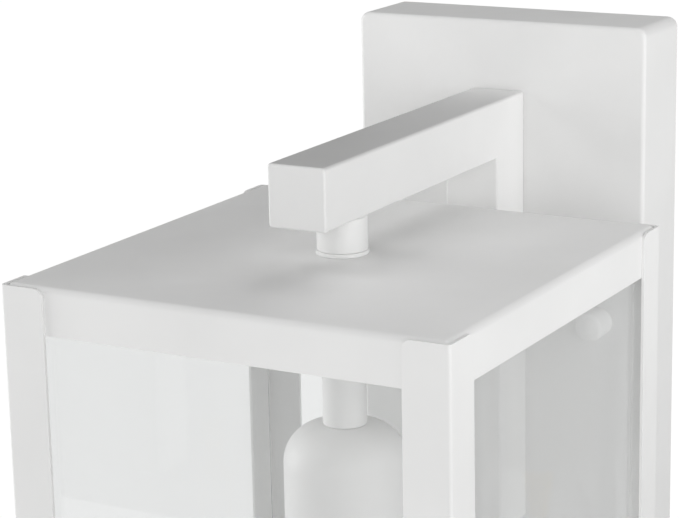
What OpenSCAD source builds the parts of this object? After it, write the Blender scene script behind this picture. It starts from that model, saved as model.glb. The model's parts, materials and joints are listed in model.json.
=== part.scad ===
// Wall lantern: a square glazed lantern that hangs on a round stem from a square tube bracket.
// Origin on the wall, at the centre of the two box screws. The front faces -Y and +Z is up. Millimetres.

/* [Wall plate] */
// Width of the wall plate
plate_w = 129; // [116:1:150]
// Height of the wall plate
plate_h = 244; // [236:1:290]
// Front face of the wall plate, out from the wall
plate_reach = 34.5; // [30:0.5:40]
// Radius of the four corners of the wall plate
plate_corner_r = 4; // [2:0.5:8]
// Radius of the front edges of the wall plate
plate_edge_r = 1.8; // [1.6:0.1:2.4]
// Sheet thickness of the wall plate
plate_wall = 1.5; // [1:0.1:2]
// Thickness of the foam gasket inside the rim of the wall plate
gasket_t = 2; // [1:0.5:3]

/* [Mounting] */
// Spacing of the screws that hold the upright strap to the wall box
box_screw_spacing = 88.9; // [83.3:0.1:90]
// Spacing of the studs that carry the wall plate
stud_spacing = 88.9; // [80:0.1:92]
// Radius of the clearance holes for the box screws
box_hole_r = 2.25; // [2.1:0.05:2.6]
// Radius of the cap nuts
cap_nut_r = 6; // [6:0.5:8]
// Length of the cap nuts
cap_nut_l = 13; // [11:0.5:14]

/* [Bracket] */
// Width of the square tube and height of the arm
tube_w = 23.5; // [21:0.5:26]
// Depth of the leg that stands against the wall plate
leg_depth = 25.5; // [22:0.5:28]
// Wall thickness of the tube
tube_wall = 1.5; // [1:0.1:2]
// Top of the arm
arm_top = 93.5; // [90:0.5:100]
// Front end of the arm, out from the wall
arm_reach = 199.5; // [190:0.5:215]
// Bottom of the leg
leg_bottom = -90; // [-105:1:-75]

/* [Lantern] */
// Outer width and depth of the lantern over its posts
lantern_w = 178; // [160:1:186]
// Height of the lantern from roof to base
lantern_h = 364; // [330:1:400]
// Axis of the lantern, out from the wall
lantern_reach = 167; // [165:1:175]
// Top face of the roof
roof_top = 54.6; // [52:0.1:58]
// Height of the turned-down roof flange
flange_h = 17.8; // [14:0.1:22]
// Radius of the roof's folded edges
roof_edge_r = 2.5; // [1.5:0.5:3]
// Thickness of roof, post and base sheet
sheet_t = 1.2; // [1:0.1:1.5]
// Width of the post legs on the front and rear faces
post_face_w = 17.8; // [15:0.1:22]
// Width of the front posts' legs on the side faces
post_side_w = 17; // [15:0.5:22]
// Width of the rear posts' legs on the side faces
post_rear_side_w = 15.5; // [14:0.5:22]
// Radius of the posts' free top corners
post_corner_r = 3.5; // [2:0.5:5]
// Distance from the roof's top face down to the post tops
post_drop = 0.5; // [0.3:0.1:2]
// Thickness of the glass panes
glass_t = 2; // [2:0.5:4]
// Height of the base frame's band
base_h = 18; // [14:0.5:24]
// Width of the base frame's inner lip
base_lip = 14; // [10:0.5:18]

/* [Stem and lampholder] */
// Radius of the stem above the roof
upper_stem_r = 9.5; // [9:0.1:10.5]
// Radius of the stem below the roof
lower_stem_r = 8.3; // [7.5:0.1:9.5]
// Top of the lampholder cup
cup_top = -10.8; // [-14:0.1:-10]
// Radius of the lampholder cup
cup_r = 23.5; // [22:0.5:26]
// Length of the lampholder cup
cup_l = 66; // [66:1:75]

/* [Lamp] */
// Radius of the lamp's globe
globe_r = 30; // [26:1:33]
// Radius of the lamp's screw cap over its thread
lamp_cap_r = 13.1; // [12.9:0.05:13.1]

/* [Hidden] */
$fn = 64;
over = 1;                                   // how far a cut runs past the face it opens

arm_bottom = arm_top - tube_w;
arm_mid = arm_top - tube_w / 2;
plate_inner = plate_reach - plate_wall;     // inner face of the plate's front wall, out from the wall
leg_front = plate_reach + leg_depth;
tube_inner = plate_reach + tube_wall;       // inner face of the leg's rear wall, out from the wall
end_cap_t = 1.5;
half_w = lantern_w / 2;
half_flange = half_w - sheet_t;             // outer face of the roof flange, inside the posts
lantern_bottom = roof_top - lantern_h;
post_top = roof_top - post_drop;
pane_gap = 0.2;                             // play around each pane
pane_out = half_flange - sheet_t - pane_gap;
pane_in = pane_out - glass_t;
pane_top = roof_top - sheet_t - 3;        // room to lift a pane out of the base
pane_bottom = lantern_bottom + sheet_t;

gasket_w = 6;
strap_t = 1.6;
strap_w = 18;
strap_l = 112;
strap_front = 2 * strap_t;                  // front face of the stud strap, out from the wall
rivet_head_r = 4;
rivet_head_t = 1.4;
stud_r = 2;
stud_tip = plate_reach + cap_nut_l - 4;     // end of the studs inside the cap nuts
stud_nut_af = 7;
stud_nut_t = 3.2;
ground_x = 20;                              // ground screw, right of the straps' crossing
thread_play = 0.05;                         // radial play of a nut on its thread
hole_play = 0.1;                            // radial play of a plain hole round its part
cap_nut_rim_r = 2.5;
bolt_r = 2.45;
bolt_hole_r = bolt_r + 0.15;
bolt_rows = [40, -60];
bolt_af = 8;
bolt_head_t = 3.5;
bolt_end = 2;                               // bolt length past its weld nut
washer_t = 1;
washer_r = 5.5;
weld_nut_t = 4;
lead_hole_r = 6;
grommet_lip = 1.2;

nipple_r = 4.8;
nipple_bore_r = 3.6;
nipple_play = 0.1;
nipple_top = arm_bottom + tube_wall + 7;
ring_t = 1.2;
foot_r = upper_stem_r + 0.4;
foot_t = 1.6;
pipe_nut_af = 14;

cup_wall = 1.2;
cup_shoulder_r = 15;
cup_nut_t = 4.3;
yoke_t = 1.5;
yoke_top = cup_top - cup_wall - cup_nut_t;
yoke_h = 11;
yoke_half = 10.5;
yoke_foot = 16.5;
yoke_depth = 10;
nipple_bottom = yoke_top - yoke_t - 2.5;
holder_r = 17;
holder_top = yoke_top - yoke_h;
holder_bottom = cup_top - cup_l + 1;
socket_screw_x = 13.6;
terminal_x = 6;
shell_top = holder_top - 15.5;
shell_in_r = 13.45;
shell_out_r = 13.9;
shell_l = 31;

lamp_top = shell_top - 1.7;                 // tip of the lamp, just under the contact leaf
cap_top = lamp_top - 3.8;
thread_pitch = 3.629;
thread_turns = 5;
cap_bottom = cap_top - 26;
glass_angle = 20;                           // half-angle of the lamp's conical neck
neck_r = 13;
globe_z = cap_bottom - (globe_r * cos(glass_angle) - neck_r) / tan(glass_angle)
          - globe_r * sin(glass_angle) - 1;
glass_wall = 0.9;
collar_r = 11.8;                            // glass collar cemented inside the screw cap
collar_l = 8;
flare_r = 8;                                // glass stem that seals the bulb

lead_r = 1.2;
lead_x = 1.4;
// Route of the live lead from its terminal to its wire cap; the neutral lead is its mirror image
live_route = [[terminal_x, -lantern_reach, holder_top], [terminal_x, -lantern_reach, holder_top + 2],
              [4, -lantern_reach, holder_top + 5], [lead_x, -lantern_reach, nipple_bottom],
              [lead_x, -lantern_reach, cup_top], [lead_x, -lantern_reach, roof_top],
              [lead_x, -lantern_reach, nipple_top - 2], [lead_x, -165.5, 83], [lead_x, -161, 86.5],
              [lead_x, -154, 86.5], [lead_x, -145, 84], [lead_x, -130, 82], [lead_x, -90, 81],
              [lead_x, -50, arm_mid], [lead_x, -plate_reach, arm_mid], [lead_x + 0.6, -26, 80],
              [4, -20, 75], [9, -17, 66], [15, -16, 54], [20, -16, 44], [22, -16, 38],
              [22, -16, 34.2]];
// Route of the earth lead from the ground screw to its wire cap
ground_route = [[ground_x, -5.6, -3.2], [18.5, -6.5, -9], [13, -10, -17], [6, -14, -24], [0.6, -16, -32],
                [0, -16, -36], [0, -16, -39.8]];
cap_places = [[22, 36], [-22, 36], [0, -38]];   // x and z of each wire cap's mouth

module rod_y(r, from, to) {
  // Cylinder along Y between two distances out from the wall
  translate([0, -from, 0]) rotate([90, 0, 0]) cylinder(r = r, h = to - from);
}

module hex_y(af, from, to) {
  // Hexagonal prism along Y, measured across its flats
  translate([0, -from, 0]) rotate([90, 0, 0]) cylinder(r = af / 2 / cos(30), h = to - from, $fn = 6);
}

module at_lantern(z = 0) {
  translate([0, -lantern_reach, z]) children();
}

module tube_z(r_out, r_in, h) {
  difference() {
    cylinder(r = r_out, h = h);
    translate([0, 0, -over]) cylinder(r = r_in, h = h + 2 * over);
  }
}

module pipe_nut(h) {
  difference() {
    cylinder(r = pipe_nut_af / 2 / cos(30), h = h, $fn = 6);
    translate([0, 0, -over]) cylinder(r = nipple_r + nipple_play, h = h + 2 * over);
  }
}

module edge_puck(d, r, e) {
  // Disc whose far rim is rounded, the corner of a block with round corners and round front edges
  rotate_extrude($fn = 32) {
    square([r, d - e]);
    square([r - e, d]);
    intersection() {
      translate([r - e, d - e]) circle(e, $fn = 32);
      square([r, d]);
    }
  }
}

module rounded_block(w, h, d, corner_r, edge_r) {
  hull() for (sx = [-1, 1], sz = [-1, 1])
    translate([sx * (w / 2 - corner_r), 0, sz * (h / 2 - corner_r)])
      rotate([90, 0, 0]) edge_puck(d, corner_r, edge_r);
}

module wall_plate() color("whitesmoke") difference() {
  rounded_block(plate_w, plate_h, plate_reach, plate_corner_r, plate_edge_r);
  translate([0, over, 0])
    rounded_block(plate_w - 2 * plate_wall, plate_h - 2 * plate_wall, plate_inner + over,
                  plate_corner_r - plate_wall, plate_edge_r - plate_wall);
  for (side = [-1, 1]) translate([side * stud_spacing / 2, 0, 0])
    rod_y(stud_r + 0.5, plate_inner - over, plate_reach + over);
  for (z = bolt_rows) translate([0, 0, z]) rod_y(bolt_hole_r, plate_inner - over, plate_reach + over);
  translate([0, 0, arm_mid]) rod_y(lead_hole_r, plate_inner - over, plate_reach + over);
}

module gasket_outline(inset) {
  // Rounded rectangle, as wide as the wall plate less the inset on each side
  w = plate_w - 2 * inset;
  h = plate_h - 2 * inset;
  r = plate_corner_r - plate_wall;
  square([w - 2 * r, h], center = true);
  square([w, h - 2 * r], center = true);
  for (sx = [-1, 1], sz = [-1, 1]) translate([sx * (w / 2 - r), sz * (h / 2 - r)]) circle(r);
}

module plate_gasket() color("dimgray") rotate([90, 0, 0]) linear_extrude(gasket_t) difference() {
  gasket_outline(plate_wall);
  gasket_outline(plate_wall + gasket_w);
}

module box_strap() color("silver") difference() {
  translate([-strap_w / 2, -strap_t, -strap_l / 2]) cube([strap_w, strap_t, strap_l]);
  for (side = [-1, 1]) translate([0, 0, side * box_screw_spacing / 2]) rod_y(box_hole_r, -over, strap_t + over);
  rod_y(stud_r + hole_play, -over, strap_t + over);
}

module stud_strap() color("silver") difference() {
  translate([-strap_l / 2, -strap_front, -strap_w / 2]) cube([strap_l, strap_t, strap_w]);
  for (x = [-stud_spacing / 2, ground_x, stud_spacing / 2]) translate([x, 0, 0])
    rod_y(stud_r + thread_play, strap_t - over, strap_front + over);
  rod_y(stud_r + hole_play, strap_t - over, strap_front + over);
}

module strap_rivet() color("gray") {
  rod_y(stud_r, 0, strap_front);
  rod_y(rivet_head_r, strap_front, strap_front + rivet_head_t);
}

module mounting_studs() color("lightsteelblue")
  for (side = [-1, 1]) translate([side * stud_spacing / 2, 0, 0]) rod_y(stud_r, 0.5, stud_tip);

module stud_lock_nuts() color("lightsteelblue")
  for (side = [-1, 1]) translate([side * stud_spacing / 2, 0, 0]) difference() {
    hex_y(stud_nut_af, strap_front, strap_front + stud_nut_t);
    rod_y(stud_r + thread_play, strap_front - over, strap_front + stud_nut_t + over);
  }

module cap_nut(side) color("white") translate([side * stud_spacing / 2, 0, 0]) difference() {
  translate([0, -plate_reach, 0]) rotate([90, 0, 0]) rotate_extrude() {
    square([cap_nut_r, cap_nut_l - cap_nut_rim_r]);
    square([cap_nut_r - cap_nut_rim_r, cap_nut_l]);
    translate([cap_nut_r - cap_nut_rim_r, cap_nut_l - cap_nut_rim_r]) circle(cap_nut_rim_r);
  }
  rod_y(stud_r + thread_play, plate_reach - over, stud_tip + 1);
}

module cap_nut_left() cap_nut(-1);
module cap_nut_right() cap_nut(1);

module bracket_side(inset, front, foot) {
  // Side view of the arm and leg: x runs out from the wall towards -Y, y is height
  polygon([[-front, arm_top - inset], [-plate_reach - inset, arm_top - inset],
           [-plate_reach - inset, foot], [-leg_front + inset, foot],
           [-leg_front + inset, arm_bottom + inset], [-front, arm_bottom + inset]]);
}

module bracket_tube() color("white") difference() {
  front = arm_reach - end_cap_t;
  foot = leg_bottom + end_cap_t;
  translate([-tube_w / 2, 0, 0]) rotate([90, 0, 90]) linear_extrude(tube_w) bracket_side(0, front, foot);
  translate([tube_wall - tube_w / 2, 0, 0]) rotate([90, 0, 90])
    linear_extrude(tube_w - 2 * tube_wall) bracket_side(tube_wall, front + over, foot - over);
  at_lantern(arm_bottom - over) cylinder(r = nipple_r + 0.4, h = tube_wall + 2 * over);
  for (z = bolt_rows) translate([0, 0, z])
    rod_y(bolt_hole_r, plate_reach - over, plate_reach + tube_wall + over);
  translate([0, 0, arm_mid]) rod_y(lead_hole_r, plate_reach - over, plate_reach + tube_wall + over);
}

module arm_end_cap() color("white")
  translate([-tube_w / 2, -arm_reach, arm_bottom]) cube([tube_w, end_cap_t, tube_w]);

module leg_end_cap() color("white")
  translate([-tube_w / 2, -leg_front, leg_bottom]) cube([tube_w, leg_depth, end_cap_t]);

module bracket_bolts() color("silver") for (z = bolt_rows) translate([0, 0, z]) {
  rod_y(bolt_r, plate_inner - washer_t, tube_inner + weld_nut_t + bolt_end);
  hex_y(bolt_af, plate_inner - washer_t - bolt_head_t, plate_inner - washer_t);
}

module bolt_washers() color("silver") for (z = bolt_rows) translate([0, 0, z]) difference() {
  rod_y(washer_r, plate_inner - washer_t, plate_inner);
  rod_y(bolt_r + hole_play, plate_inner - washer_t - over, plate_inner + over);
}

module bracket_weld_nuts() color("gray") for (z = bolt_rows) translate([0, 0, z]) difference() {
  hex_y(bolt_af, tube_inner, tube_inner + weld_nut_t);
  rod_y(bolt_r + thread_play, tube_inner - over, tube_inner + weld_nut_t + over);
}

module plate_grommet() color("black") translate([0, 0, arm_mid]) difference() {
  front = tube_inner + 1.5;
  union() {
    rod_y(lead_hole_r - hole_play, plate_inner, front);
    rod_y(lead_hole_r + 2, plate_inner - grommet_lip, plate_inner);
  }
  rod_y(lead_hole_r - 1.8, plate_inner - grommet_lip - over, front + over);
}

module stem_nipple() color("goldenrod")
  at_lantern(nipple_bottom) tube_z(nipple_r, nipple_bore_r, nipple_top - nipple_bottom);

module arm_washer() color("silver")
  at_lantern(arm_bottom + tube_wall) tube_z(9, nipple_r + nipple_play, washer_t);

module arm_lock_nut() color("goldenrod") at_lantern(arm_bottom + tube_wall + washer_t) pipe_nut(4);

module stem_top_ring() color("white")
  at_lantern(arm_bottom - ring_t) tube_z(upper_stem_r, nipple_r + nipple_play, ring_t);

module upper_stem() color("white")
  at_lantern(roof_top + foot_t) tube_z(upper_stem_r, nipple_r + nipple_play,
                                       arm_bottom - ring_t - roof_top - foot_t);

module stem_foot_ring() color("white") at_lantern(roof_top) tube_z(foot_r, nipple_r + nipple_play, foot_t);

module roof_pan() color("whitesmoke") at_lantern() difference() {
  corner = half_flange - roof_edge_r;
  hull() for (sx = [-1, 1], sy = [-1, 1]) translate([sx * corner, sy * corner, roof_top - flange_h]) {
    cylinder(r = roof_edge_r, h = flange_h - roof_edge_r, $fn = 32);
    translate([0, 0, flange_h - roof_edge_r]) sphere(roof_edge_r, $fn = 32);
  }
  inner = half_flange - sheet_t;
  translate([-inner, -inner, roof_top - flange_h - over])
    cube([2 * inner, 2 * inner, flange_h - sheet_t + over]);
  translate([0, 0, roof_top - sheet_t - over]) cylinder(r = nipple_r + nipple_play, h = sheet_t + 2 * over);
}

module post_leg(w) {
  // Upright strip with its free top corner rounded, from the lantern's edge inwards along X
  h = post_top - lantern_bottom;
  rotate([90, 0, 0]) linear_extrude(sheet_t) {
    square([w, h - post_corner_r]);
    square([w - post_corner_r, h]);
    translate([w - post_corner_r, h - post_corner_r]) circle(post_corner_r);
  }
}

module corner_post(side, face, side_w) {
  // side is -1 left or 1 right, face is -1 front or 1 rear
  color("white") at_lantern(lantern_bottom) mirror([side > 0 ? 1 : 0, 0, 0])
    mirror([0, face > 0 ? 1 : 0, 0]) translate([-half_w, -half_w, 0]) {
      translate([0, sheet_t, 0]) post_leg(post_face_w);
      rotate([0, 0, 90]) post_leg(side_w);
    }
}

module post_front_left() corner_post(-1, -1, post_side_w);
module post_front_right() corner_post(1, -1, post_side_w);
module post_rear_left() corner_post(-1, 1, post_rear_side_w);
module post_rear_right() corner_post(1, 1, post_rear_side_w);

module square_ring(outer, inner, h) {
  difference() {
    translate([-outer, -outer, 0]) cube([2 * outer, 2 * outer, h]);
    translate([-inner, -inner, -over]) cube([2 * inner, 2 * inner, h + 2 * over]);
  }
}

module base_frame() color("whitesmoke") at_lantern(lantern_bottom) {
  square_ring(half_flange, half_flange - sheet_t - base_lip, sheet_t);
  square_ring(half_flange, half_flange - sheet_t, base_h);
}

module pane(half_l) {
  // Upright pane across the lantern, its outer face towards -Y
  translate([-half_l, -pane_out, pane_bottom]) cube([2 * half_l, glass_t, pane_top - pane_bottom]);
}

module glass_front() color("lightcyan", 0.3) at_lantern() pane(pane_out);
module glass_rear() color("lightcyan", 0.3) at_lantern() rotate([0, 0, 180]) pane(pane_out);
module glass_left() color("lightcyan", 0.3) at_lantern() rotate([0, 0, -90]) pane(pane_in - pane_gap);
module glass_right() color("lightcyan", 0.3) at_lantern() rotate([0, 0, 90]) pane(pane_in - pane_gap);

module pane_clips() color("silver") {
  // Angle clips behind the four corners, hung under the roof and standing on the base lip
  clip_l = 12;
  clip_h = 10;
  clip_t = 1;
  for (z = [roof_top - sheet_t - clip_h, pane_bottom], quarter = [0:3])
    at_lantern(z) rotate([0, 0, 90 * quarter]) translate([-pane_in, -pane_in, 0]) {
      cube([clip_l, clip_t, clip_h]);
      cube([clip_t, clip_l, clip_h]);
    }
}

module lower_stem() color("white")
  at_lantern(cup_top) tube_z(lower_stem_r, nipple_r + nipple_play, roof_top - sheet_t - cup_top);

module cup_profile(r, shoulder, top, bottom) {
  // Half section of the domed cup: flat crown, round shoulder, straight skirt
  translate([0, bottom]) square([r, top - shoulder - bottom]);
  translate([0, top - shoulder]) square([r - shoulder, shoulder]);
  intersection() {
    translate([r - shoulder, top - shoulder]) circle(shoulder, $fn = 96);
    translate([0, top - shoulder]) square([r, shoulder]);
  }
}

module socket_cup() color("white") at_lantern(cup_top) difference() {
  rotate_extrude($fn = 96) difference() {
    cup_profile(cup_r, cup_shoulder_r, 0, -cup_l);
    cup_profile(cup_r - cup_wall, cup_shoulder_r - cup_wall, -cup_wall, -cup_l - over);
  }
  translate([0, 0, -cup_wall - over]) cylinder(r = nipple_r + nipple_play, h = cup_wall + 2 * over);
}

module cup_lock_nut() color("goldenrod") at_lantern(yoke_top) pipe_nut(cup_nut_t);

module socket_yoke() color("silver") at_lantern() difference() {
  translate([0, yoke_depth / 2, 0]) rotate([90, 0, 0]) linear_extrude(yoke_depth) for (flip = [0, 1])
    mirror([flip, 0]) {
      translate([0, yoke_top - yoke_t]) square([yoke_half, yoke_t]);
      translate([yoke_half - yoke_t, holder_top]) square([yoke_t, yoke_h]);
      translate([yoke_half - yoke_t, holder_top]) square([yoke_foot - yoke_half + yoke_t, yoke_t]);
    }
  translate([0, 0, yoke_top - yoke_t - over]) cylinder(r = nipple_r + nipple_play, h = yoke_t + 2 * over);
  for (side = [-1, 1]) translate([side * socket_screw_x, 0, holder_top - over])
    cylinder(r = 1.6, h = yoke_t + 2 * over);
}

module socket_screws() color("silver") for (side = [-1, 1])
  translate([side * socket_screw_x, 0, 0]) at_lantern(holder_top) {
    translate([0, 0, -8]) cylinder(r = 1.5, h = 8 + yoke_t);
    translate([0, 0, yoke_t]) cylinder(r = 2.6, h = 1.6);
  }

module lampholder() color("ivory") at_lantern() difference() {
  translate([0, 0, holder_bottom]) cylinder(r = holder_r, h = holder_top - holder_bottom);
  translate([0, 0, holder_bottom - over]) cylinder(r = shell_out_r + 0.1, h = shell_top - holder_bottom + over);
  for (side = [-1, 1]) {
    translate([side * socket_screw_x, 0, holder_top - 8.5]) cylinder(r = 1.6, h = 8.5 + over);
    translate([side * terminal_x, 0, holder_top - 4]) cylinder(r = 1.5, h = 4 + over);
  }
}

module screw_shell() color("gold") at_lantern(shell_top - shell_l) {
  tube_z(shell_out_r, shell_in_r, shell_l);
  translate([0, 0, shell_l - 0.6]) tube_z(shell_out_r, 8, 0.6);
}

module contact_leaf() color("gold") at_lantern(shell_top) {
  translate([0, 0, -1]) cylinder(r = 1.8, h = 1);
  translate([0, 0, -1.6]) cylinder(r = 4, h = 0.6);
}

module lamp_tip() color("dimgray") at_lantern(lamp_top) {
  translate([0, 0, -1.2]) cylinder(r = 4.5, h = 1.2);
  translate([0, 0, cap_top - lamp_top]) cylinder(r1 = 9.4, r2 = 5, h = lamp_top - cap_top - 1.2);
}

module lamp_base() color("silver") at_lantern(cap_top) difference() {
  root_r = lamp_cap_r - 0.6;
  union() {
    translate([0, 0, -2.5]) cylinder(r1 = root_r, r2 = 9.5, h = 2.5);
    translate([0, 0, cap_bottom - cap_top]) cylinder(r = root_r, h = cap_top - cap_bottom - 2.5);
    for (turn = [0:thread_turns - 1])
      translate([0, 0, -3.5 - (turn + 0.5) * thread_pitch]) cylinder(r = lamp_cap_r, h = thread_pitch / 2);
  }
  translate([0, 0, cap_bottom - cap_top - over]) cylinder(r = root_r - 0.5, h = cap_top - cap_bottom - 3 + over);
  translate([0, 0, -4]) cylinder(r = 8.5, h = 4 + over);
}

module lamp_outline(shrink) {
  // Half section of the bulb: collar in the cap, conical neck, round globe
  r = globe_r - shrink;
  translate([0, cap_bottom - 1]) square([collar_r - shrink, collar_l + 1 - shrink]);
  intersection() {
    translate([0, globe_z]) circle(r, $fn = 96);
    translate([0, globe_z - r]) square([r, 2 * r]);
  }
  polygon([[0, globe_z], [r * cos(glass_angle), globe_z + r * sin(glass_angle)],
           [neck_r - shrink, cap_bottom - 0.2], [0, cap_bottom - 0.2]]);
}

module lamp_glass() color("white", 0.5) at_lantern() rotate_extrude($fn = 96) difference() {
  lamp_outline(0);
  lamp_outline(glass_wall);
  translate([0, cap_bottom]) square([flare_r + 0.05, collar_l + over]);
}

module lamp_filament() color("orange") at_lantern() {
  // Glass stem that closes the bulb, with four filament rods between two rings of wire arms
  rod_half = 16;
  stem_bottom = globe_z + 12;
  translate([0, 0, cap_bottom]) cylinder(r = flare_r, h = collar_l);
  translate([0, 0, stem_bottom]) cylinder(r1 = 2.5, r2 = flare_r, h = cap_bottom - stem_bottom);
  translate([0, 0, globe_z - rod_half]) cylinder(r = 1, h = stem_bottom - globe_z + rod_half);
  for (quarter = [0:3]) rotate([0, 0, 90 * quarter]) {
    translate([0.8, -0.5, globe_z - rod_half]) cube([7.6, 1, 1.2]);
    translate([8.7, 0, globe_z - rod_half]) cylinder(r = 0.9, h = 2 * rod_half + 1);
    translate([1.5, -0.5, globe_z + rod_half]) cube([7, 1, 1]);
  }
}

// Sweep of a round lead along a route of points, eight sides
function unit(v) = v / norm(v);
function tangent(path, i) = unit(path[min(i + 1, len(path) - 1)] - path[max(i - 1, 0)]);
function side_axis(t, hint) = unit(hint - (hint * t) * t);
function lead_ring(path, i, r, hint) =
  let (t = tangent(path, i), a = side_axis(t, hint), b = cross(t, a))
  [for (k = [0:7]) path[i] + r * (cos(45 * k) * a + sin(45 * k) * b)];

module lead(path, r, hint) {
  count = len(path);
  points = [for (i = [0:count - 1]) each lead_ring(path, i, r, hint)];
  walls = [for (i = [0:count - 2], k = [0:7])
             [8 * i + k, 8 * i + (k + 1) % 8, 8 * i + 8 + (k + 1) % 8, 8 * i + 8 + k]];
  ends = [[for (k = [7:-1:0]) k], [for (k = [0:7]) 8 * (count - 1) + k]];
  polyhedron(points, concat(walls, ends));
}

// Curve through the route's points, with extra points on each stretch
function blend_point(p0, p1, p2, p3, u) =
  0.5 * (2 * p1 + (p2 - p0) * u + (2 * p0 - 5 * p1 + 4 * p2 - p3) * u * u
         + (3 * p1 - p0 - 3 * p2 + p3) * u * u * u);
function smooth_route(path, steps) = let (n = len(path)) concat(
  [for (i = [0:n - 2], s = [0:steps - 1])
     blend_point(path[max(i - 1, 0)], path[i], path[i + 1], path[min(i + 2, n - 1)], s / steps)],
  [path[n - 1]]);

module lead_live() color("black") lead(smooth_route(live_route, 3), lead_r, [1, 0, 0]);
module lead_neutral() color("white") mirror([1, 0, 0]) lead(smooth_route(live_route, 3), lead_r, [1, 0, 0]);

module ground_screw() color("green") translate([ground_x, 0, 0]) {
  rod_y(stud_r, strap_t, strap_front);
  rod_y(4.6, strap_front, strap_front + 1);
  hex_y(6.4, strap_front + 1, strap_front + 4);
}

module ground_lead() color("limegreen") lead(smooth_route(ground_route, 3), 0.9, [1, 0, 0]);

module wire_caps() color("orange") for (place = cap_places)
  translate([place[0], -16, place[1]]) difference() {
    translate([0, 0, -16]) cylinder(r1 = 3.4, r2 = 5, h = 16);
    translate([0, 0, -2]) cylinder(r = 1.6, h = 2 + over);
  }

wall_plate();
plate_gasket();
box_strap();
stud_strap();
strap_rivet();
mounting_studs();
stud_lock_nuts();
cap_nut_left();
cap_nut_right();
bracket_tube();
arm_end_cap();
leg_end_cap();
bracket_bolts();
bolt_washers();
bracket_weld_nuts();
plate_grommet();
stem_nipple();
arm_lock_nut();
arm_washer();
stem_top_ring();
upper_stem();
stem_foot_ring();
roof_pan();
post_front_left();
post_front_right();
post_rear_left();
post_rear_right();
base_frame();
glass_front();
glass_rear();
glass_left();
glass_right();
pane_clips();
lower_stem();
socket_cup();
cup_lock_nut();
socket_yoke();
socket_screws();
lampholder();
screw_shell();
contact_leaf();
lamp_tip();
lamp_base();
lamp_glass();
lamp_filament();
lead_live();
lead_neutral();
ground_screw();
ground_lead();
wire_caps();
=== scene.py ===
import json
import math

import bmesh
import bpy
from mathutils import Matrix, Vector


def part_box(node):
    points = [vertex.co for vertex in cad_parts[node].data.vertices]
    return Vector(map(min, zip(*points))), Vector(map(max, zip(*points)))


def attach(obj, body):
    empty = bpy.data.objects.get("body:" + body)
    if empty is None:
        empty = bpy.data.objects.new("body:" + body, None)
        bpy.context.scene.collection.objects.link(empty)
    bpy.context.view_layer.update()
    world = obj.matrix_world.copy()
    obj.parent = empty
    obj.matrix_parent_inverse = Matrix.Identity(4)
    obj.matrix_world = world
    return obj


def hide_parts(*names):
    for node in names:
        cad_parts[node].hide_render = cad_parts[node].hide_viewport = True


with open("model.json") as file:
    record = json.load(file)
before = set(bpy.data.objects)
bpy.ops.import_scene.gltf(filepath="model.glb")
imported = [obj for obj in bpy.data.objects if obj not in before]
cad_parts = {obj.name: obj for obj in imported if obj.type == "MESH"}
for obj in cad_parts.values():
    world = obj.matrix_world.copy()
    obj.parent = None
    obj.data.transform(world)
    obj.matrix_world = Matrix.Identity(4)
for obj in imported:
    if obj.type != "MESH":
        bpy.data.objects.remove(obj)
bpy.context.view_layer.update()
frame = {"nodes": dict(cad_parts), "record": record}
scene = bpy.context.scene
print("frame loaded:", len(frame["nodes"]), "nodes")


def nodeBox(node):
    # low corner, high corner and middle of a CAD node
    low, high = (Vector(corner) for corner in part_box(node))
    return low, high, (low + high) / 2


roofLow, roofHigh, roofMid = nodeBox("roof_pan")
plateLow, plateHigh, plateMid = nodeBox("wall_plate")
baseLow, baseHigh, baseMid = nodeBox("base_frame")
sheet = 0.0012                                    # folded sheet of roof, posts and base


# camera at the viewer's place: right of the lantern and a little above its roof
cameraSet = {
    "azimuth": 29.66, "elevation": 14.33, "roll": -1.23,   # degrees
    "lens": 123.2,                                         # mm on a 36 mm sensor
    "distance": 0.8523,
    "aim": Vector((0, roofMid.y - 0.00245, roofHigh.z - 0.00188)),
}


def makeCamera(s):
    az, el, roll = (math.radians(s[key]) for key in ("azimuth", "elevation", "roll"))
    back = Vector((math.sin(az) * math.cos(el), -math.cos(az) * math.cos(el), math.sin(el)))
    right = Vector((math.cos(az), math.sin(az), 0))
    up = back.cross(right)
    tiltedRight = math.cos(roll) * right + math.sin(roll) * up
    tiltedUp = math.cos(roll) * up - math.sin(roll) * right
    data = bpy.data.cameras.new("lanternCamera")
    data.lens = s["lens"]
    data.sensor_width = 36
    data.clip_start = 0.05
    data.clip_end = 20
    cam = bpy.data.objects.new("lanternCamera", data)
    turn = Matrix((tiltedRight, tiltedUp, back)).transposed()
    cam.matrix_world = Matrix.Translation(s["aim"] + back * s["distance"]) @ turn.to_4x4()
    scene.collection.objects.link(cam)
    scene.camera = cam


makeCamera(cameraSet)
print("camera set")


# shader building blocks: each takes the material and gives back a socket to wire on

def startFinish(name, **sockets):
    mat = bpy.data.materials.new(name)
    mat.use_nodes = True
    for key, value in sockets.items():
        shaderOf(mat).inputs[key.replace("_", " ")].default_value = value
    return mat


def shaderOf(mat):
    return next(n for n in mat.node_tree.nodes if n.type == "BSDF_PRINCIPLED")


def addNode(mat, kind, inputs=None, **values):
    made = mat.node_tree.nodes.new(kind)
    for key, value in values.items():
        setattr(made, key, value)
    for key, value in (inputs or {}).items():
        if hasattr(value, "is_output"):
            mat.node_tree.links.new(value, made.inputs[key])
        else:
            made.inputs[key].default_value = value
    return made


def wire(mat, socket, into):
    mat.node_tree.links.new(socket, shaderOf(mat).inputs[into])


def place(mat, stretch=(1, 1, 1)):
    spot = addNode(mat, "ShaderNodeTexCoord").outputs["Object"]
    return addNode(mat, "ShaderNodeMapping", {"Vector": spot, "Scale": stretch}).outputs["Vector"]


def cloud(mat, scale, detail=3, stretch=(1, 1, 1)):
    inputs = {"Vector": place(mat, stretch), "Scale": scale, "Detail": detail}
    return addNode(mat, "ShaderNodeTexNoise", inputs).outputs["Fac"]


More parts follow.
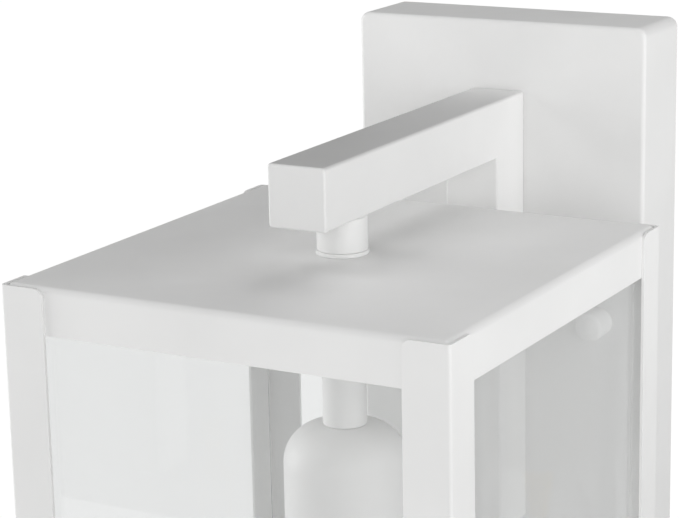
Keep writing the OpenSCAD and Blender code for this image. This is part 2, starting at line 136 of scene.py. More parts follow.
def cells(mat, scale, stretch=(1, 1, 1)):
    inputs = {"Vector": place(mat, stretch), "Scale": scale}
    return addNode(mat, "ShaderNodeTexVoronoi", inputs).outputs["Distance"]


def spread(mat, source, low, high, fromLow=0.3, fromHigh=0.7):
    inputs = {"Value": source, "From Min": fromLow, "From Max": fromHigh, "To Min": low, "To Max": high}
    return addNode(mat, "ShaderNodeMapRange", inputs).outputs["Result"]


def tint(mat, source, dark, light, low=0.3, high=0.7):
    ramp = addNode(mat, "ShaderNodeValToRGB", {"Fac": source})
    for mark, where, shade in zip(ramp.color_ramp.elements, (low, high), (dark, light)):
        mark.position = where
        mark.color = (*shade, 1)
    wire(mat, ramp.outputs["Color"], "Base Color")


def relief(mat, *layers):
    # layers are (height socket, strength, depth in metres)
    normal = None
    for height, strength, depth in layers:
        inputs = {"Height": height, "Strength": strength, "Distance": depth}
        if normal:
            inputs["Normal"] = normal
        normal = addNode(mat, "ShaderNodeBump", inputs).outputs["Normal"]
    wire(mat, normal, "Normal")


def powderCoat():
    paint = {"dull": (0.785, 0.785, 0.78), "clean": (0.82, 0.82, 0.815), "peel": 900, "fleck": 4200}
    mat = startFinish("powderCoat", IOR=1.47)
    tint(mat, cloud(mat, 16, 5), paint["dull"], paint["clean"], 0.35, 0.65)
    wire(mat, spread(mat, cloud(mat, 70, 5), 0.48, 0.56), "Roughness")
    relief(mat, (cloud(mat, paint["peel"], 2), 0.10, 0.0002), (cloud(mat, paint["fleck"], 1), 0.05, 0.00005))
    return mat


def clearForLight(mat, passed):
    # light passes the glass without being bent, a little weaker
    surface = next(n for n in mat.node_tree.nodes if n.type == "OUTPUT_MATERIAL").inputs["Surface"]
    veil = addNode(mat, "ShaderNodeBsdfTransparent", {"Color": (passed, passed, passed, 1)})
    path = addNode(mat, "ShaderNodeLightPath").outputs
    unseen = {0: path["Is Shadow Ray"], 1: path["Is Diffuse Ray"]}
    lightRay = addNode(mat, "ShaderNodeMath", unseen, operation="MAXIMUM").outputs[0]
    inputs = {0: lightRay, 1: shaderOf(mat).outputs["BSDF"], 2: veil.outputs["BSDF"]}
    mat.node_tree.links.new(addNode(mat, "ShaderNodeMixShader", inputs).outputs[0], surface)


def floatGlass():
    mat = startFinish("floatGlass", Transmission_Weight=1.0, IOR=1.5)
    tint(mat, cloud(mat, 5, 2), (0.896, 0.902, 0.900), (0.906, 0.910, 0.909))
    wire(mat, spread(mat, cloud(mat, 9, 6), 0.0, 0.012, 0.5, 0.8), "Roughness")
    relief(mat, (cloud(mat, 14, 1, (1, 1, 0.35)), 0.02, 0.0003))
    clearForLight(mat, 0.97)
    return mat


def bulbGlass():
    mat = startFinish("bulbGlass", Transmission_Weight=1.0, IOR=1.48)
    tint(mat, cloud(mat, 25, 2), (0.975, 0.985, 0.98), (0.99, 0.99, 0.985))
    wire(mat, spread(mat, cloud(mat, 30, 4), 0.0, 0.02, 0.4, 0.8), "Roughness")
    relief(mat, (cloud(mat, 45, 2), 0.03, 0.0003))
    clearForLight(mat, 0.9)
    return mat


def bareMetal(name, dark, light, grain, rough, lay):
    # grain: size of the colour patches, lay: how far the fine scratches run round the part
    mat = startFinish(name, Metallic=1.0)
    tint(mat, cloud(mat, grain, 5), dark, light)
    wire(mat, spread(mat, cloud(mat, grain * 1.7, 4), *rough), "Roughness")
    relief(mat, (cloud(mat, grain * 4, 3, (1, 1, lay)), 0.12, 0.0001))
    return mat


def zincPlate():
    mat = startFinish("zincPlate", Metallic=1.0)
    tint(mat, cells(mat, 420), (0.56, 0.58, 0.61), (0.71, 0.72, 0.72), 0.1, 0.8)
    wire(mat, spread(mat, cloud(mat, 260, 4), 0.28, 0.46), "Roughness")
    relief(mat, (cloud(mat, 900, 3, (1, 1, 6)), 0.12, 0.0001))
    return mat


def softSkin(name, dark, light, grain, rough, depth=0.0001, **sockets):
    # rubber, insulation, moulded plastic and glazed parts: faint patches and a fine skin
    mat = startFinish(name, **sockets)
    tint(mat, cloud(mat, grain, 4), dark, light)
    wire(mat, spread(mat, cloud(mat, grain * 3, 3), *rough), "Roughness")
    relief(mat, (cloud(mat, grain * 8, 2), 0.15, depth))
    return mat


def foamStrip():
    mat = startFinish("foamStrip")
    tint(mat, cells(mat, 900), (0.05, 0.05, 0.052), (0.13, 0.13, 0.132), 0.0, 0.8)
    wire(mat, spread(mat, cloud(mat, 500, 3), 0.8, 0.97), "Roughness")
    relief(mat, (cells(mat, 1400), 0.6, 0.0004))
    return mat


def lampInsulator():
    # black glass cone with a solder contact on top
    mat = startFinish("lampInsulator")
    top = nodeBox("lamp_tip")[1].z
    height = addNode(mat, "ShaderNodeSeparateXYZ", {"Vector": place(mat)}).outputs["Z"]
    solder = spread(mat, height, 0, 1, top - 0.0018, top - 0.0012)
    wire(mat, solder, "Metallic")
    tint(mat, solder, (0.012, 0.010, 0.014), (0.62, 0.62, 0.60), 0.0, 1.0)
    wire(mat, spread(mat, cloud(mat, 300, 3), 0.12, 0.35), "Roughness")
    relief(mat, (cloud(mat, 500, 2), 0.2, 0.0002))
    return mat


finishes = {
    "white_paint": powderCoat(), "gasket_foam": foamStrip(), "zinc_plate": zincPlate(),
    "clear_glass": floatGlass(), "lamp_glass": bulbGlass(), "lamp_insulator": lampInsulator(),
    "brass": bareMetal("turnedBrass", (0.55, 0.40, 0.17), (0.76, 0.60, 0.30), 150, (0.22, 0.4), 12),
    "nickel_cap": bareMetal("nickelCap", (0.62, 0.61, 0.58), (0.80, 0.79, 0.76), 200, (0.18, 0.34), 8),
    "grommet_rubber": softSkin("softRubber", (0.018, 0.018, 0.02), (0.04, 0.04, 0.042), 120, (0.55, 0.75)),
    "porcelain": softSkin("glazedPorcelain", (0.80, 0.78, 0.72), (0.87, 0.86, 0.81), 60, (0.15, 0.3), 0.0003,
                          Coat_Weight=0.6, Coat_Roughness=0.08, Subsurface_Weight=0.08,
                          Subsurface_Scale=0.002),
    "filament_glow": softSkin("filamentRods", (0.80, 0.52, 0.10), (0.90, 0.66, 0.20), 240, (0.35, 0.55)),
    "lead_black": softSkin("blackInsulation", (0.012, 0.012, 0.013), (0.03, 0.03, 0.03), 350, (0.3, 0.45)),
    "lead_white": softSkin("whiteInsulation", (0.72, 0.72, 0.70), (0.80, 0.80, 0.78), 350, (0.3, 0.45)),
    "ground_green": softSkin("greenScrewPaint", (0.02, 0.16, 0.05), (0.04, 0.24, 0.08), 250, (0.3, 0.45)),
    "ground_green_wire": softSkin("greenInsulation", (0.04, 0.30, 0.07), (0.08, 0.40, 0.12), 350,
                                  (0.3, 0.45)),
    "wire_cap_plastic": softSkin("capPlastic", (0.72, 0.25, 0.03), (0.83, 0.33, 0.06), 160, (0.4, 0.58),
                                 Subsurface_Weight=0.05, Subsurface_Scale=0.001),
}
slotOf = {row["node"]: row["material_slot"] for row in frame["record"]["subparts"]}
bodyOf = {node: body for body, nodes in frame["record"]["behaviour"]["bodies"].items() for node in nodes}
print("finishes mixed:", len(finishes))


def finishMesh(name, mesh, node, others=(), smooth=38, holes=()):
    # puts a mesh in the scene as the piece that stands for its CAD nodes
    mesh.validate()
    obj = bpy.data.objects.new(name, mesh)
    scene.collection.objects.link(obj)
    if holes:
        pierce(obj, holes)
    obj.data.polygons.foreach_set("use_smooth", [True] * len(obj.data.polygons))
    obj.data.set_sharp_from_angle(angle=math.radians(smooth))
    obj.data.materials.clear()
    obj.data.materials.append(finishes[slotOf[node]])
    even = obj.modifiers.new("evenNormals", "WEIGHTED_NORMAL")
    even.keep_sharp = True
    even.weight = 100
    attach(obj, bodyOf[node])
    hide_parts(node, *others)
    return obj


def bmToMesh(name, bm, move=None):
    if move:
        bmesh.ops.transform(bm, matrix=move, verts=bm.verts)
    bmesh.ops.recalc_face_normals(bm, faces=bm.faces)
    mesh = bpy.data.meshes.new(name)
    bm.to_mesh(mesh)
    bm.free()
    return mesh


def roundedRect(halfX, halfY, radius, steps):
    # points of a rounded rectangle, anticlockwise from its right side
    points = []
    for corner, (cx, cy) in enumerate(((1, 1), (-1, 1), (-1, -1), (1, -1))):
        for k in range(steps + 1):
            a = math.radians(90 * (corner + k / steps))
            points.append(Vector((cx * (halfX - radius) + radius * math.cos(a),
                                  cy * (halfY - radius) + radius * math.sin(a))))
    return points


def bridgeLoops(bm, loops, closed=False):
    # quads between neighbouring rings of vertices
    pairs = list(zip(loops, loops[1:] + loops[:1] if closed else loops[1:]))
    for lower, upper in pairs:
        n = len(lower)
        for k in range(n):
            bm.faces.new((lower[k], lower[(k + 1) % n], upper[(k + 1) % n], upper[k]))


def arc(steps, start, end):
    return [math.radians(start + (end - start) * k / steps) for k in range(steps + 1)]


def sweptRing(profile, halfX, halfY, cornerR, steps=6, caps=False):
    # sweeps a section of (inset, z) points round a rounded rectangle
    bm = bmesh.new()
    loops = []
    for inset, z in profile:
        radius = max(cornerR - inset, 0.0003)
        ring = roundedRect(halfX - inset, halfY - inset, radius, steps)
        loops.append([bm.verts.new((p.x, p.y, z)) for p in ring])
    bridgeLoops(bm, loops, closed=not caps)
    if caps:
        bm.faces.new(loops[0])
        bm.faces.new(loops[-1])
    return bm


def panProfile(depth, edgeR, wall, hem, steps=7):
    # section of a pressed pan: hem at z 0, round edge, flat face at z depth; outside then inside
    outer = [(edgeR * (1 - math.cos(a)), depth - edgeR + edgeR * math.sin(a)) for a in arc(steps, 0, 90)]
    innerR = edgeR - wall
    inner = [(wall + innerR * (1 - math.cos(a)), depth - edgeR + innerR * math.sin(a))
             for a in arc(steps, 0, 90)]
    lip = [(hem * (1 - math.cos(a)), hem * (1 - math.sin(a))) for a in arc(3, 90, 0)]
    innerLip = [(wall - inset, z) for inset, z in reversed(lip)]
    return list(reversed(inner)) + innerLip + lip + outer


def lathe(profile, segments=96, closed=True):
    # turns a section of (radius, z) points about Z
    bm = bmesh.new()
    loops = []
    for radius, z in profile:
        ring = []
        for k in range(segments):
            a = 2 * math.pi * k / segments
            ring.append(bm.verts.new((radius * math.cos(a), radius * math.sin(a), z)))
        loops.append(ring)
    bridgeLoops(bm, loops, closed=closed)
    if not closed:
        bm.faces.new(loops[0])
        bm.faces.new(loops[-1])
    return bm


def roundedTube(rOut, rIn, low, high, soft, steps=3):
    # section of a tube whose four edges are softened
    corners = ((rOut, low, -90, 0, -1, 1), (rOut, high, 0, 90, -1, -1),
               (rIn, high, 90, 180, 1, -1), (rIn, low, 180, 270, 1, 1))
    return [(r + soft * (sideR + math.cos(a)), z + soft * (sideZ + math.sin(a)))
            for r, z, start, end, sideR, sideZ in corners for a in arc(steps, start, end)]


def pierce(obj, holes):
    # cuts round holes: (centre, axis, radius, length)
    for centre, axis, radius, length in holes:
        bm = bmesh.new()
        bmesh.ops.create_cone(bm, cap_ends=True, segments=48, radius1=radius, radius2=radius, depth=length)
        turn = Vector(axis).to_track_quat("Z", "Y").to_matrix().to_4x4()
        cutter = bpy.data.objects.new("cutter", bmToMesh("cutter", bm, Matrix.Translation(centre) @ turn))
        scene.collection.objects.link(cutter)
        cut = obj.modifiers.new("hole", "BOOLEAN")
        cut.object = cutter
        cut.solver = "EXACT"
        shaped = bpy.data.meshes.new_from_object(obj.evaluated_get(bpy.context.evaluated_depsgraph_get()))
        obj.modifiers.remove(cut)
        obj.data = shaped
        bpy.data.objects.remove(cutter)


def makeWallPlate():
    plateSet = {"cornerR": 0.004, "edgeR": 0.0018, "wall": 0.0015, "hem": 0.0004}
    depth = plateHigh.y - plateLow.y
    profile = panProfile(depth, plateSet["edgeR"], plateSet["wall"], plateSet["hem"], 9)
    halfX, halfZ = (plateHigh.x - plateLow.x) / 2, (plateHigh.z - plateLow.z) / 2
    bm = sweptRing(profile, halfX, halfZ, plateSet["cornerR"], 9, caps=True)
    upright = Matrix.Rotation(math.radians(90), 4, "X")
    move = Matrix.Translation((plateMid.x, plateHigh.y, plateMid.z)) @ upright
    holes = []
    for node, clear in (("cap_nut_left", 0.0025), ("cap_nut_right", 0.0025), ("plate_grommet", 0.0059)):
        mid = nodeBox(node)[2]
        holes.append((Vector((mid.x, plateLow.y, mid.z)), (0, 1, 0), clear, 0.01))
    boltLow, boltHigh, boltMid = nodeBox("bracket_bolts")
    head = (boltHigh.x - boltLow.x) / 2 * math.cos(math.radians(30))
    for z in (boltLow.z + head, boltHigh.z - head):
        holes.append((Vector((boltMid.x, plateLow.y, z)), (0, 1, 0), 0.0026, 0.01))
    finishMesh("wallPlate", bmToMesh("wallPlate", bm, move), "wall_plate", holes=holes)


makeWallPlate()
print("wall plate pressed")


def makeBracket():
    # arm and leg as one bent outline, softened, with the bore as a second skin inside
    bracketSet = {"edgeR": 0.0013, "endR": 0.0010, "wall": 0.0015}
    low, high, mid = nodeBox("bracket_tube")
    capLow = nodeBox("arm_end_cap")[0]
    footLow = nodeBox("leg_end_cap")[0]
    width = high.x - low.x
    legFront = footLow.y
    armBottom = capLow.z

    def shell(inset):
        bm = bmesh.new()
        outline = [(capLow.y + inset, high.z - inset), (high.y - inset, high.z - inset),
                   (high.y - inset, footLow.z + inset), (legFront + inset, footLow.z + inset),
                   (legFront + inset, armBottom + inset), (capLow.y + inset, armBottom + inset)]
        sides = []
        for x in (low.x + inset, low.x + width - inset):
            sides.append([bm.verts.new((x, y, z)) for y, z in outline])
        bridgeLoops(bm, sides)
        bm.faces.new(sides[0])
        bm.faces.new(sides[1])
        bmesh.ops.recalc_face_normals(bm, faces=bm.faces)
        return bm

    bm = shell(0)
    endEdges = [e for e in bm.edges if all(v.co.y < capLow.y + 1e-6 for v in e.verts)]
    longEdges = [e for e in bm.edges if e not in endEdges and e.calc_face_angle_signed() > 0.1]
    bmesh.ops.bevel(bm, geom=longEdges, offset=bracketSet["edgeR"], segments=5, profile=0.5, affect="EDGES")
    endEdges = [e for e in bm.edges if e.is_valid and all(v.co.y < capLow.y + 1e-6 for v in e.verts)]
    bmesh.ops.bevel(bm, geom=endEdges, offset=bracketSet["endR"], segments=4, profile=0.5, affect="EDGES")
    inner = shell(bracketSet["wall"])
    bmesh.ops.reverse_faces(inner, faces=inner.faces)
    innerMesh = bpy.data.meshes.new("bore")
    inner.to_mesh(innerMesh)
    inner.free()
    bmesh.ops.recalc_face_normals(bm, faces=bm.faces)
    bm.from_mesh(innerMesh)
    mesh = bpy.data.meshes.new("bracket")
    bm.to_mesh(mesh)
    bm.free()
    grommet = nodeBox("plate_grommet")[2]
    holes = [(Vector((mid.x, roofMid.y, armBottom)), (0, 0, 1), 0.0052, 0.008),
             (Vector((mid.x, high.y, grommet.z)), (0, 1, 0), 0.0059, 0.008)]
    finishMesh("bracket", mesh, "bracket_tube", ("arm_end_cap", "leg_end_cap"), 40, holes)


makeBracket()
print("bracket welded")


def makeRoof():
    # flat top with a turned-down flange, open below
    roofSet = {"cornerR": 0.0025, "edgeR": 0.0025, "hem": 0.00035}
    profile = panProfile(roofHigh.z - roofLow.z, roofSet["edgeR"], sheet, roofSet["hem"], 8)
    bm = sweptRing(profile, roofHigh.x, roofHigh.x, roofSet["cornerR"], 8, caps=True)
    move = Matrix.Translation((roofMid.x, roofMid.y, roofLow.z))
    holes = [(Vector((roofMid.x, roofMid.y, roofHigh.z)), (0, 0, 1), 0.0049, 0.006)]
    finishMesh("roofPan", bmToMesh("roofPan", bm, move), "roof_pan", holes=holes)


def makePost(node, name, sideX, sideY):
    # folded angle, built for the front left corner and mirrored to the others
    postSet = {"bendR": 0.0014, "freeCornerR": 0.0035, "cornerSteps": 7, "hem": 0.00025}
    low, high = nodeBox(node)[:2]
    faceW, sideW, height = high.x - low.x, high.y - low.y, high.z - low.z
    bend, free, steps = postSet["bendR"], postSet["freeCornerR"], postSet["cornerSteps"]

    def legColumns(width):
        # distances from the fold to the free edge, with the round corner's steps last
        flat = [bend + (width - free - bend) * k / 3 for k in range(4)]
        return flat + [width - free + free * math.sin(a) for a in arc(steps, 0, 90)[1:]]

    def topAt(distance, width):
        past = max(distance - (width - free), 0)
        return height - free + math.sqrt(max(free * free - past * past, 0))

    columns = []                                  # (outer point, normal, height of the top)
    for d in reversed(legColumns(sideW)):
        columns.append((Vector((0, d)), Vector((-1, 0)), topAt(d, sideW)))
    for a in arc(5, 180, 270)[1:-1]:
        out = Vector((math.cos(a), math.sin(a)))
        columns.append((Vector((bend, bend)) + out * bend, out, height))
    for d in legColumns(faceW):
        columns.append((Vector((d, 0)), Vector((0, -1)), topAt(d, faceW)))
    bm = bmesh.new()
    rows = []
    for point, out, top in columns:
        inside = point - out * sheet
        section = ((point, 0), (point, top), (inside, top), (inside, 0))
        rows.append([bm.verts.new((p.x, p.y, z)) for p, z in section])
    bridgeLoops(bm, rows)
    bm.faces.new(rows[0])
    bm.faces.new(rows[-1])
    bmesh.ops.recalc_face_normals(bm, faces=bm.faces)
    rim = [e for e in bm.edges if e.calc_face_angle(0) > math.radians(60)]
    bmesh.ops.bevel(bm, geom=rim, offset=postSet["hem"], segments=2, profile=0.5, affect="EDGES",
                    clamp_overlap=True)
    corner = Vector((low.x if sideX < 0 else high.x, low.y if sideY < 0 else high.y, low.z))
    flip = Matrix.Diagonal((1 if sideX < 0 else -1, 1 if sideY < 0 else -1, 1, 1))
    finishMesh(name, bmToMesh(name, bm, Matrix.Translation(corner) @ flip), node, smooth=50)


def makeBase():
    # upright band with a lip turned inward at the bottom
    baseSet = {"cornerR": 0.0022, "bendR": 0.0018, "lip": 0.014}
    height, bend, lip = baseHigh.z - baseLow.z, baseSet["bendR"], baseSet["lip"] + sheet
    inner = bend - sheet
    outside = [(bend * (1 - math.cos(a)), bend * (1 - math.sin(a))) for a in arc(5, 0, 90)]
    inside = [(sheet + inner * (1 - math.cos(a)), bend - inner * math.sin(a)) for a in arc(5, 90, 0)]
    soft = 0.0003
    edge = [(lip - soft, 0), (lip, soft), (lip, sheet - soft), (lip - soft, sheet)]
    top = [(sheet, height - soft), (sheet - soft, height), (soft, height), (0, height - soft)]
    bm = sweptRing(outside + edge + inside + top, baseHigh.x, baseHigh.x, baseSet["cornerR"], 6)
    finishMesh("baseFrame", bmToMesh("baseFrame", bm, Matrix.Translation((baseMid.x, baseMid.y, baseLow.z))),
               "base_frame")


makeRoof()
for postNode, postName, sx, sy in (("post_front_left", "postFrontLeft", -1, -1),
                                   ("post_front_right", "postFrontRight", 1, -1),
                                   ("post_rear_left", "postRearLeft", -1, 1),
                                   ("post_rear_right", "postRearRight", 1, 1)):
    makePost(postNode, postName, sx, sy)
makeBase()
print("roof, posts and base folded")


def makePane(node, name):
    paneSet = {"arris": 0.0005}
    low, high, mid = nodeBox(node)
    bm = bmesh.new()
    bmesh.ops.create_cube(bm, size=1)
    size = high - low
    bmesh.ops.transform(bm, matrix=Matrix.Translation(mid) @ Matrix.Diagonal((*size, 1)), verts=bm.verts)
    bmesh.ops.bevel(bm, geom=bm.edges[:], offset=paneSet["arris"], segments=1, affect="EDGES")
    finishMesh(name, bmToMesh(name, bm), node, smooth=20)


for paneNode, paneName in (("glass_front", "glassFront"), ("glass_rear", "glassRear"),
                           ("glass_left", "glassLeft"), ("glass_right", "glassRight")):
    makePane(paneNode, paneName)
print("panes cut")


def makeTurned(node, name, profile):
    # a turned piece on its node's upright axis
    mid = nodeBox(node)[2]
    finishMesh(name, bmToMesh(name, lathe(profile), Matrix.Translation((mid.x, mid.y, 0))), node)


def makeStems():
    stemSet = {"bore": 0.0049, "soft": 0.0004, "ringSoft": 0.00035}
    for node, name, soft in (("upper_stem", "upperStem", stemSet["soft"]),
                             ("lower_stem", "lowerStem", stemSet["soft"]),
                             ("stem_top_ring", "stemTopRing", stemSet["ringSoft"]),
                             ("stem_foot_ring", "stemFootRing", stemSet["ringSoft"])):
        low, high = nodeBox(node)[:2]
        makeTurned(node, name, roundedTube((high.x - low.x) / 2, stemSet["bore"], low.z, high.z, soft))


def makeCup():
    cupSet = {"shoulder": 0.015, "wall": 0.0012, "bore": 0.0049, "roll": 0.0006}
    low, high = nodeBox("socket_cup")[:2]
    r, wall, shoulder, roll = (high.x - low.x) / 2, cupSet["wall"], cupSet["shoulder"], cupSet["roll"]
    dome = [(r - shoulder + shoulder * math.sin(a), high.z - shoulder + shoulder * math.cos(a))
            for a in arc(16, 0, 90)]
    bead = [(r - roll + roll * math.cos(a), low.z + roll + roll * math.sin(a)) for a in arc(6, 0, -180)]
    inR = shoulder - wall
    inside = [(r - shoulder + inR * math.sin(a), high.z - shoulder + inR * math.cos(a))
              for a in arc(12, 90, 0)]
    profile = [(cupSet["bore"], high.z)] + dome + bead + inside + [(cupSet["bore"], high.z - wall)]
    makeTurned("socket_cup", "socketCup", profile)


def makeCapNut(node, name):
    nutSet = {"rim": 0.0022, "crown": 0.0009, "bore": 0.00205, "boreDepth": 0.010}
    low, high, mid = nodeBox(node)
    r, length = (high.x - low.x) / 2, high.y - low.y
    rim, crown = nutSet["rim"], nutSet["crown"]
    shoulder = length - crown
    edge = [(r - rim + rim * math.cos(a), shoulder - rim + rim * math.sin(a)) for a in arc(8, 0, 90)]
    face = [((r - rim) * (1 - k / 6), shoulder + crown * math.sin(math.pi / 2 * k / 6)) for k in range(1, 6)]
    foot = [(nutSet["bore"], nutSet["boreDepth"]), (nutSet["bore"], 0), (r - 0.0004, 0), (r, 0.0004)]
    bm = lathe(foot + edge + face, 72, closed=False)
    move = Matrix.Translation((mid.x, high.y, mid.z)) @ Matrix.Rotation(math.radians(90), 4, "X")
    finishMesh(name, bmToMesh(name, bm, move), node)


makeStems()
makeCup()
makeCapNut("cap_nut_left", "capNutLeft")
makeCapNut("cap_nut_right", "capNutRight")
print("turned parts done")


def makeLampGlass():
    bulbSet = {"wall": 0.0009, "flare": 0.00805, "collarR": 0.0118, "neckR": 0.013, "cone": 20}
    low, high, mid = nodeBox("lamp_glass")
    capBottom = nodeBox("lamp_base")[0].z
    globe = (high.x - low.x) / 2
    centre = low.z + globe

    def skin(shrink):
        r = globe - shrink
        ball = [(r * math.cos(a), centre + r * math.sin(a)) for a in arc(36, -89.5, bulbSet["cone"])]
        neck = [(bulbSet["neckR"] - shrink, capBottom - 0.001),
                (bulbSet["collarR"] - shrink, capBottom + 0.0005),
                (bulbSet["collarR"] - shrink, high.z - shrink)]
        return ball + neck

    outer, inner = skin(0), skin(bulbSet["wall"])
    profile = outer + [(bulbSet["flare"], high.z), (bulbSet["flare"], high.z - bulbSet["wall"])] + inner[::-1]
    bm = lathe(profile, 96, closed=False)
    finishMesh("lampGlass", bmToMesh("lampGlass", bm, Matrix.Translation((mid.x, mid.y, 0))), "lamp_glass")


def makeLampBase():
    # thin cap with a rolled thread
    threadSet = {"pitch": 0.003629, "depth": 0.0006, "turns": 5, "wall": 0.0005, "columns": 72, "perTurn": 12}
    low, high, mid = nodeBox("lamp_base")
    crest = (high.x - low.x) / 2
    root = crest - threadSet["depth"]
    threadTop = high.z - 0.0035
    threadLow = threadTop - threadSet["turns"] * threadSet["pitch"]
    rows = threadSet["turns"] * threadSet["perTurn"]
    bm = bmesh.new()

    def ring(z, radiusAt):
        made = []
        for k in range(threadSet["columns"]):
            a = 2 * math.pi * k / threadSet["columns"]
            r = radiusAt(a)
            made.append(bm.verts.new((r * math.cos(a), r * math.sin(a), z)))
        return made

    def threadRadius(a, z, t):
        wave = 0.5 - 0.5 * math.cos(2 * math.pi * (z - threadLow) / threadSet["pitch"] - a)
        fade = min(1, 6 * t, 6 * (1 - t))
        return root + threadSet["depth"] * wave * max(fade, 0)

    loops = [ring(low.z, lambda a: root - threadSet["wall"]), ring(low.z, lambda a: root)]
    for k in range(rows + 1):
        z = threadLow + (threadTop - threadLow) * k / rows
        loops.append(ring(z, lambda a: threadRadius(a, z, k / rows)))
    loops.append(ring(high.z - 0.0025, lambda a: root))
    loops.append(ring(high.z, lambda a: 0.0095))
    loops.append(ring(high.z, lambda a: 0.0085))
    loops.append(ring(high.z - 0.0035, lambda a: 0.0085))
    loops.append(ring(high.z - 0.0035, lambda a: root - threadSet["wall"]))
    bridgeLoops(bm, loops, closed=True)
    mesh = bmToMesh("lampBase", bm, Matrix.Translation((mid.x, mid.y, 0)))
    finishMesh("lampBase", mesh, "lamp_base", smooth=50)


makeLampGlass()
makeLampBase()
print("lamp blown")


# small hardware keeps its CAD shape, with softened edges
softEdges = {
    "plate_gasket": 0.0003, "box_strap": 0.0003, "stud_strap": 0.0003, "strap_rivet": 0.0003,
    "mounting_studs": 0.0003, "stud_lock_nuts": 0.0003, "bracket_bolts": 0.0003, "bolt_washers": 0.0002,
    "bracket_weld_nuts": 0.0003, "plate_grommet": 0.0004, "stem_nipple": 0.0002, "arm_lock_nut": 0.0004,
    "arm_washer": 0.0002, "pane_clips": 0.0002, "cup_lock_nut": 0.0004, "socket_yoke": 0.0003,
    "socket_screws": 0.0003, "lampholder": 0.0008, "screw_shell": 0.0001, "contact_leaf": 0.0001,
    "lamp_tip": 0.0003, "lamp_filament": 0.0001, "ground_screw": 0.0003, "wire_caps": 0.0005,
}


def dressNode(node, width):
    # gives a carried-over node its finish and, through modifiers, softer edges
    obj = frame["nodes"][node]
    obj.data.materials.clear()
    obj.data.materials.append(finishes[slotOf[node]])
    if width:
        weld = obj.modifiers.new("weld", "WELD")
        weld.merge_threshold = 1e-5
        bevel = obj.modifiers.new("softEdge", "BEVEL")
        bevel.width = width
        bevel.segments = 2
        bevel.limit_method = "ANGLE"
        bevel.angle_limit = math.radians(40)
        bevel.use_clamp_overlap = True


for hardware, softness in softEdges.items():
    dressNode(hardware, softness)
for leadNode in ("lead_live", "lead_neutral", "ground_lead"):
    dressNode(leadNode, 0)
print("hardware dressed:", len(softEdges) + 3)


# white studio sweep: bright pale floor, soft boxes on all sides, the strongest at left and right
lightSet = {
    "surroundings": 0.02,
    "seenWhite": 1.02,                            # what the eye sees behind the lantern
    "softboxes": {                                # place, edge length, watts, on the bracket too
        "rightBox": ((1.7, -0.75, 0.25), 1.3, 9.0, True),
        "frontRightBox": ((0.9, -1.7, 0.4), 1.0, 9.6, True),
        "leftBox": ((-1.7, -0.5, 0.3), 1.2, 20.6, True),
        "frontBox": ((-0.35, -1.9, 0.15), 1.3, 1.6, True),
        "nearFrontBox": ((0.1, -1.1, 0.25), 0.5, 0.7, True),
        "highLeftBox": ((-0.6, -0.5, 1.0), 0.6, 3.0, True),
        "wallBox": ((0.45, -0.10, 0.25), 0.3, 0.8, True),
        "rearHighBox": ((0.0, 0.8, 1.2), 1.0, 5.9, False),
    },
}
floorSet = {"below": 1.1, "radius": 14, "glow": 0.63, "seenWhite": lightSet["seenWhite"]}


def seenDirectly(tree):
    # 1 for what is seen straight or through glass, 0 for light that falls on the lantern
    path = tree.nodes.new("ShaderNodeLightPath")
    steps = [tree.nodes.new("ShaderNodeMath") for k in range(3)]
    for step, kind in zip(steps, ("MAXIMUM", "LESS_THAN", "MULTIPLY")):
        step.operation = kind
    tree.links.new(path.outputs["Is Camera Ray"], steps[0].inputs[0])
    tree.links.new(path.outputs["Is Transmission Ray"], steps[0].inputs[1])
    tree.links.new(path.outputs["Diffuse Depth"], steps[1].inputs[0])
    steps[1].inputs[1].default_value = 0.5
    tree.links.new(steps[0].outputs[0], steps[2].inputs[0])
    tree.links.new(steps[1].outputs[0], steps[2].inputs[1])
    return steps[2].outputs[0]


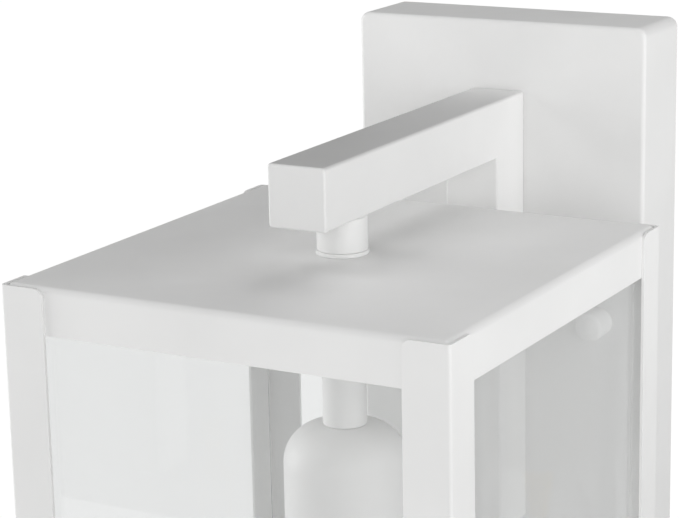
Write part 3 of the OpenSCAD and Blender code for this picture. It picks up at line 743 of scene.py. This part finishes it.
def makeWorld(s):
    world = bpy.data.worlds.new("studio")
    scene.world = world
    world.use_nodes = True
    tree = world.node_tree
    tree.nodes.clear()
    mix = tree.nodes.new("ShaderNodeMixShader")
    out = tree.nodes.new("ShaderNodeOutputWorld")
    for k, strength in enumerate((s["surroundings"], s["seenWhite"])):
        shade = tree.nodes.new("ShaderNodeBackground")
        shade.inputs["Color"].default_value = (1, 1, 1, 1)
        shade.inputs["Strength"].default_value = strength
        tree.links.new(shade.outputs[0], mix.inputs[k + 1])
    tree.links.new(seenDirectly(tree), mix.inputs[0])
    tree.links.new(mix.outputs[0], out.inputs["Surface"])


def makeSoftboxes(s):
    aim = Vector((0, roofMid.y, roofHigh.z - 0.08))
    flagged = bpy.data.collections.new("flaggedBracket")      # kept out of some boxes' light
    flagged.objects.link(bpy.data.objects["bracket"])
    flagged.collection_objects[0].light_linking.link_state = "EXCLUDE"
    for name, (spot, size, watts, everywhere) in s["softboxes"].items():
        data = bpy.data.lights.new(name, "AREA")
        data.size = size
        data.energy = watts
        box = bpy.data.objects.new(name, data)
        box.location = spot
        box.rotation_mode = "QUATERNION"
        box.rotation_quaternion = (aim - Vector(spot)).to_track_quat("-Z", "Y")
        box.visible_camera = False
        box.visible_transmission = False
        if not everywhere:
            box.light_linking.receiver_collection = flagged
        scene.collection.objects.link(box)


def makeFloor(s):
    bm = bmesh.new()
    bmesh.ops.create_circle(bm, cap_ends=True, segments=96, radius=s["radius"])
    mesh = bmToMesh("floor", bm, Matrix.Translation((0, 0, baseLow.z - s["below"])))
    floor = bpy.data.objects.new("floor", mesh)
    scene.collection.objects.link(floor)
    mat = startFinish("paleFloor", Roughness=0.8, Emission_Color=(1, 1, 1, 1), Emission_Strength=s["glow"])
    tint(mat, cloud(mat, 3, 3), (0.80, 0.80, 0.79), (0.84, 0.84, 0.83))
    white = addNode(mat, "ShaderNodeEmission", {"Strength": s["seenWhite"]})
    inputs = {0: seenDirectly(mat.node_tree), 1: shaderOf(mat).outputs["BSDF"], 2: white.outputs[0]}
    surface = next(n for n in mat.node_tree.nodes if n.type == "OUTPUT_MATERIAL").inputs["Surface"]
    mat.node_tree.links.new(addNode(mat, "ShaderNodeMixShader", inputs).outputs[0], surface)
    mat.cycles.emission_sampling = "NONE"
    mesh.materials.append(mat)


makeWorld(lightSet)
makeSoftboxes(lightSet)
makeFloor(floorSet)
scene.view_settings.view_transform = "Standard"
scene.view_settings.look = "None"
print("studio lit")
